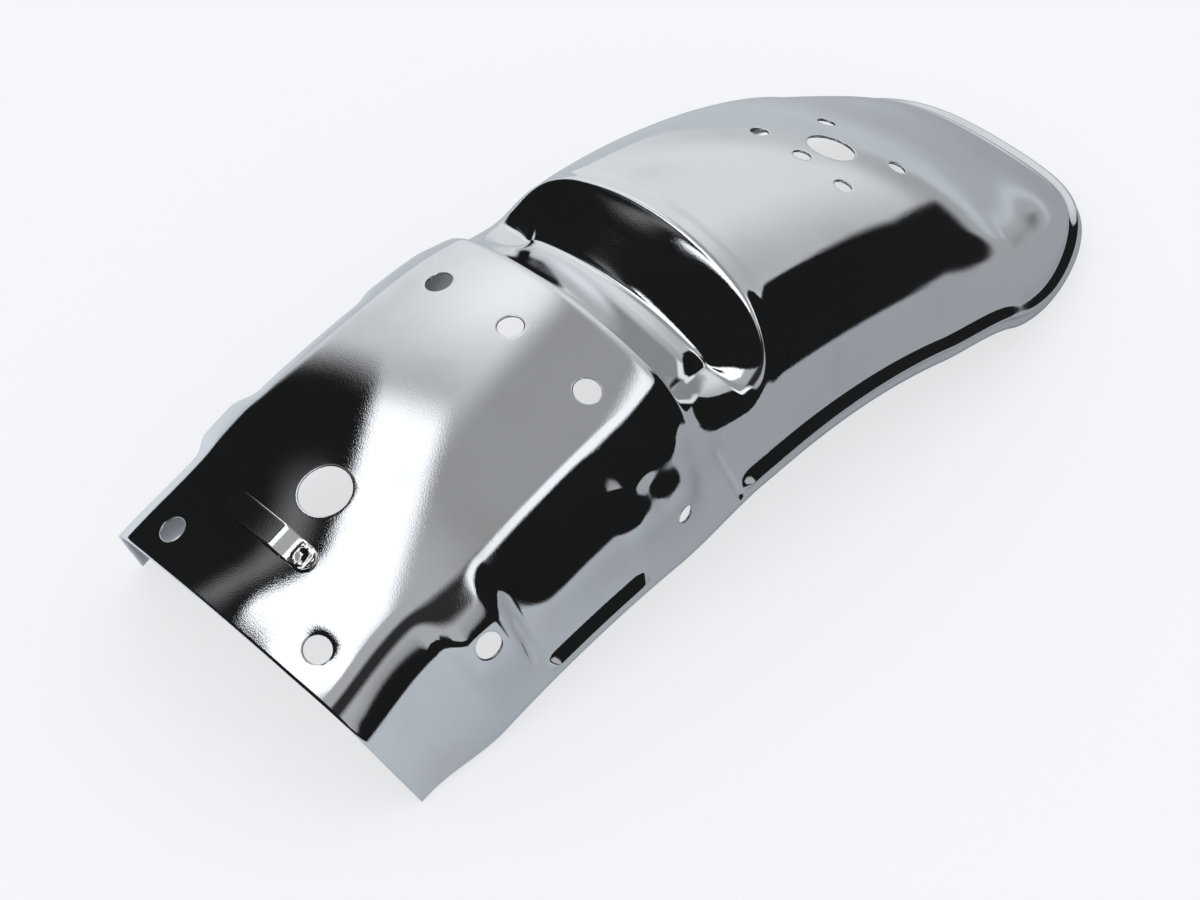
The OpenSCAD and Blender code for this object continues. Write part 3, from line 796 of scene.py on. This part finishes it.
def build_floor():
    h = FLOOR_HALF
    floor = make_mesh("floor", [(-h, -h, 0), (h, -h, 0), (h, h, 0), (-h, h, 0)], [(0, 1, 2, 3)],
                      smooth=False)
    mat = bpy.data.materials.new("floor_paper")
    mat.use_nodes = True
    nodes, links = mat.node_tree.nodes, mat.node_tree.links
    shader = nodes["Principled BSDF"]
    shader.inputs["Roughness"].default_value = 0.9
    shader.inputs["Specular IOR Level"].default_value = 0.0
    glow = nodes.new("ShaderNodeEmission")
    glow.inputs["Color"].default_value = PAPER
    glow.inputs["Strength"].default_value = 1.0
    path = nodes.new("ShaderNodeLightPath")
    m = Maths(mat.node_tree)
    split = nodes.new("ShaderNodeSeparateXYZ")
    links.new(nodes.new("ShaderNodeTexCoord").outputs["Object"], split.inputs[0])
    x, y, _ = split.outputs

    def pick_color(fac, a, b):
        pick = nodes.new("ShaderNodeMix")
        pick.data_type = "RGBA"
        for slot, color in (("A", a), ("B", b)):
            if isinstance(color, tuple):
                pick.inputs[slot].default_value = color
            else:
                links.new(color, pick.inputs[slot])
        links.new(fac, pick.inputs["Factor"])
        return pick.outputs["Result"]

    seen = pick_color(floor_light(m, x, y), (BLACK, BLACK, BLACK, 1), PAPER_IN_CHROME)
    links.new(pick_color(path.outputs["Is Glossy Ray"], PAPER, seen), shader.inputs["Base Color"])
    blend = nodes.new("ShaderNodeMixShader")
    links.new(m.mul(path.outputs["Is Camera Ray"], GLOW), blend.inputs["Fac"])
    links.new(shader.outputs[0], blend.inputs[1])
    links.new(glow.outputs[0], blend.inputs[2])
    links.new(blend.outputs[0], nodes["Material Output"].inputs["Surface"])
    floor.data.materials.append(mat)


def build_world():
    """The studio's lights for what mirrors them, and one even white light for everything else."""
    world = bpy.data.worlds.new("studio")
    bpy.context.scene.world = world
    world.use_nodes = True
    tree = world.node_tree
    nodes, links = tree.nodes, tree.links
    back = nodes["Background"]
    back.inputs["Strength"].default_value = 1.0
    m = Maths(tree)
    split = nodes.new("ShaderNodeSeparateXYZ")
    links.new(nodes.new("ShaderNodeTexCoord").outputs["Generated"], split.inputs[0])
    x, y, z = split.outputs
    path = nodes.new("ShaderNodeLightPath")
    bright = m.over(1.0, path.outputs["Is Glossy Ray"], studio_light(m, x, y, z))
    tint = nodes.new("ShaderNodeVectorMath")
    tint.operation = "SCALE"
    tint.inputs[0].default_value = LAMP_TINT
    links.new(bright, tint.inputs["Scale"])
    links.new(tint.outputs[0], back.inputs["Color"])


# Camera in the crown line's frame: its place in millimetres, its turns about X, Y and Z in degrees,
# and its lens
EYE = (-450.73, -649.27, 888.38)
LOOK = (44.053, -0.21, -44.203)
LENS, SENSOR = 105, 36


def build_camera():
    cam = bpy.data.cameras.new("camera")
    cam.sensor_width = SENSOR
    cam.lens = LENS
    obj = bpy.data.objects.new("camera", cam)
    bpy.context.scene.collection.objects.link(obj)
    turn = Euler([math.radians(angle) for angle in LOOK]).to_matrix()
    tilt = Matrix.Rotation(-REST_TILT, 3, "Y")
    obj.matrix_world = Matrix.Translation(Vector(to_frame(np.array(EYE)))) @ (tilt @ turn).to_4x4()
    bpy.context.scene.camera = obj


build_floor()
build_world()
build_camera()
bpy.context.scene.view_settings.view_transform = "Standard"
